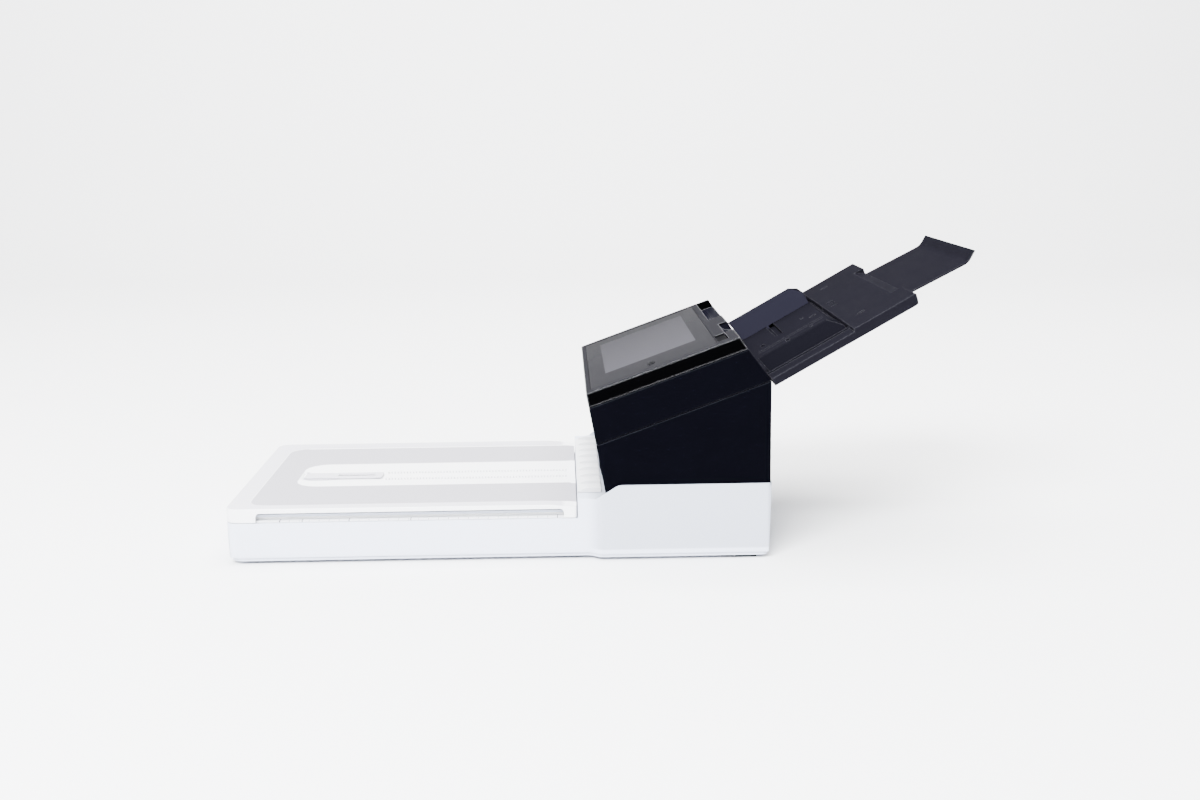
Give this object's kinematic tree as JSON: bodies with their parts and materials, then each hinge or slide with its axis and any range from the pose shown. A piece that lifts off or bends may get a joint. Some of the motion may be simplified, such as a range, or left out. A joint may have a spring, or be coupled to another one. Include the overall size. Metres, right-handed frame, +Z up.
{
  "type": "document scanner",
  "caption": "Flatbed document scanner with a hinged lid, a sheet feeder with a hinged touch panel cover, a sloping input tray with sliding guides and a pull-out extension.",
  "frame": {"origin": "centre of the bounding box at the resting surface", "axes": "+Z up, +Y from the flatbed's front end to the feeder and its tray, +X to the right when the flatbed's front end is faced from -Y"},
  "size_m": [0.318, 0.7624, 0.3032],
  "materials": {
    "white_shell": "satin",
    "lid_shell": "fine grain, satin",
    "black_shell": "fine grain, satin",
    "gloss_black": "polished",
    "dark_grey": "fine grain, satin",
    "mid_grey": "satin",
    "glass_dark": "polished",
    "screen": "smooth",
    "glass_clear": "polished",
    "mat_white": "matt film on foam",
    "board_green": "solder mask",
    "steel": "zinc plated",
    "rubber": "matt",
    "white_part": "moulded, matt"
  },
  "bodies": {
    "scanner": {"base_housing": "white_shell", "bottom_plate": "white_shell", "foot_front_left": "rubber", "foot_front_right": "rubber", "foot_rear_left": "rubber", "foot_rear_right": "rubber", "exit_ribs": "white_shell", "glass_frame": "lid_shell", "platen_glass": "glass_clear", "main_board": "board_green", "power_inlet": "black_shell", "usb_port": "steel", "lan_port": "steel", "carriage_rod": "steel", "carriage_belt": "rubber", "carriage_motor": "steel", "lid_hinge_front": "mid_grey", "lid_hinge_rear": "mid_grey", "adf_housing": "black_shell", "side_frame_left": "steel", "side_frame_right": "steel", "lower_guide": "dark_grey", "lower_sensor": "gloss_black", "adf_motor": "steel", "drive_belt": "rubber", "cover_pin_left": "steel", "cover_pin_right": "steel", "input_tray": "dark_grey", "tray_underside": "dark_grey"},
    "lid": {"lid_cover": "lid_shell", "lid_liner": "white_shell", "lid_mat": "mat_white"},
    "stopper": {"stopper_slider": "mid_grey"},
    "stopper_flap": {"stopper_flap": "mid_grey"},
    "cover": {"cover_shell": "black_shell", "panel_bezel": "gloss_black", "touch_glass": "glass_dark", "display_module": "screen", "panel_board": "board_green", "upper_guide": "dark_grey", "upper_sensor": "gloss_black"},
    "release_button": {"release_button": "mid_grey"},
    "power_key": {"power_key": "mid_grey"},
    "guide_near": {"guide_near": "dark_grey"},
    "guide_far": {"guide_far": "dark_grey"},
    "guide_pinion": {"guide_pinion": "white_part"},
    "tray_extension": {"tray_extension": "dark_grey"},
    "carriage": {"carriage": "black_shell", "carriage_sensor": "dark_grey"},
    "belt_drive_pulley": {"belt_drive_pulley": "white_part"},
    "belt_idler_pulley": {"belt_idler_pulley": "white_part"},
    "transport_roller": {"transport_roller": "rubber"},
    "feed_roller": {"feed_roller": "rubber"},
    "exit_roller": {"exit_roller": "rubber"},
    "motor_pulley": {"motor_pulley": "white_part"},
    "separation_roller": {"separation_roller": "rubber"},
    "transport_idler": {"transport_idler": "white_part"},
    "exit_idler": {"exit_idler": "white_part"}
  },
  "joints": [
    {"name": "lid_hinge", "type": "hinge", "parent": "scanner", "child": "lid", "pos_m": [-0.148, -0.2, 0.045], "axis": [0, -1, 0], "range_deg": [0, 75]},
    {"name": "stopper_slide", "type": "slide", "parent": "lid", "child": "stopper", "axis": [0, 1, 0], "range_m": [0, 0.18]},
    {"name": "stopper_flap_hinge", "type": "hinge", "parent": "stopper", "child": "stopper_flap", "pos_m": [0, -0.32422, 0.0543], "axis": [1, 0, 0], "range_deg": [0, 85]},
    {"name": "cover_hinge", "type": "hinge", "parent": "scanner", "child": "cover", "pos_m": [0, 0.00228, 0.091], "axis": [-1, 0, 0], "range_deg": [-70, 0]},
    {"name": "release_button_press", "type": "slide", "parent": "cover", "child": "release_button", "axis": [0, -0.3382, 0.9411], "range_m": [-0.003, 0], "stiffness_N_per_m": 500, "springref_m": 0.002},
    {"name": "power_key_press", "type": "slide", "parent": "cover", "child": "power_key", "axis": [0, -0.3382, 0.9411], "range_m": [-0.001, 0], "stiffness_N_per_m": 800, "springref_m": 0.0005},
    {"name": "guide_near_slide", "type": "slide", "parent": "scanner", "child": "guide_near", "axis": [1, 0, 0], "range_m": [-0.052, 0]},
    {"name": "guide_far_slide", "type": "slide", "parent": "scanner", "child": "guide_far", "axis": [1, 0, 0], "range_m": [0, 0.052]},
    {"name": "guide_pinion_spin", "type": "hinge", "parent": "scanner", "child": "guide_pinion", "pos_m": [0, 0.20367, 0.20399], "axis": [0, -0.4924, 0.8704], "range_deg": [0, 720]},
    {"name": "tray_extension_slide", "type": "slide", "parent": "scanner", "child": "tray_extension", "axis": [0, 0.8886, 0.4587], "range_m": [-0.05, 0]},
    {"name": "carriage_slide", "type": "slide", "parent": "scanner", "child": "carriage", "axis": [0, 1, 0], "range_m": [-0.29, 0]},
    {"name": "belt_drive_pulley_spin", "type": "hinge", "parent": "scanner", "child": "belt_drive_pulley", "pos_m": [-0.1, -0.03622, 0.021], "axis": [1, 0, 0], "range_deg": [0, 2520]},
    {"name": "belt_idler_pulley_spin", "type": "hinge", "parent": "scanner", "child": "belt_idler_pulley", "pos_m": [-0.1, -0.36822, 0.021], "axis": [1, 0, 0], "range_deg": [0, 2520]},
    {"name": "transport_roller_spin", "type": "hinge", "parent": "scanner", "child": "transport_roller", "pos_m": [0, 0.09224, 0.13054], "axis": [1, 0, 0], "continuous": true},
    {"name": "feed_roller_spin", "type": "hinge", "parent": "scanner", "child": "feed_roller", "pos_m": [0, 0.13804, 0.15121], "axis": [1, 0, 0], "continuous": true},
    {"name": "exit_roller_spin", "type": "hinge", "parent": "scanner", "child": "exit_roller", "pos_m": [0, 0.03162, 0.09554], "axis": [1, 0, 0], "continuous": true},
    {"name": "motor_pulley_spin", "type": "hinge", "parent": "scanner", "child": "motor_pulley", "pos_m": [0, 0.12278, 0.09], "axis": [1, 0, 0], "continuous": true},
    {"name": "separation_roller_spin", "type": "hinge", "parent": "cover", "child": "separation_roller", "pos_m": [0, 0.12739, 0.16965], "axis": [1, 0, 0], "continuous": true},
    {"name": "transport_idler_spin", "type": "hinge", "parent": "cover", "child": "transport_idler", "pos_m": [0, 0.08584, 0.14162], "axis": [1, 0, 0], "continuous": true},
    {"name": "exit_idler_spin", "type": "hinge", "parent": "cover", "child": "exit_idler", "pos_m": [0, 0.02522, 0.10662], "axis": [1, 0, 0], "continuous": true}
  ],
  "couplings": [
    {"joint": "guide_far_slide", "follows": "guide_near_slide", "ratio": -1},
    {"joint": "guide_pinion_spin", "follows": "guide_near_slide", "rad_per_m": -238.1},
    {"joint": "belt_drive_pulley_spin", "follows": "carriage_slide", "rad_per_m": -151.52},
    {"joint": "belt_idler_pulley_spin", "follows": "carriage_slide", "rad_per_m": -151.52},
    {"joint": "feed_roller_spin", "follows": "transport_roller_spin", "ratio": 0.58333},
    {"joint": "exit_roller_spin", "follows": "transport_roller_spin", "ratio": 1},
    {"joint": "motor_pulley_spin", "follows": "transport_roller_spin", "ratio": 1},
    {"joint": "separation_roller_spin", "follows": "transport_roller_spin", "ratio": -0.77778},
    {"joint": "transport_idler_spin", "follows": "transport_roller_spin", "ratio": -1.2727},
    {"joint": "exit_idler_spin", "follows": "transport_roller_spin", "ratio": -1.2727}
  ]
}
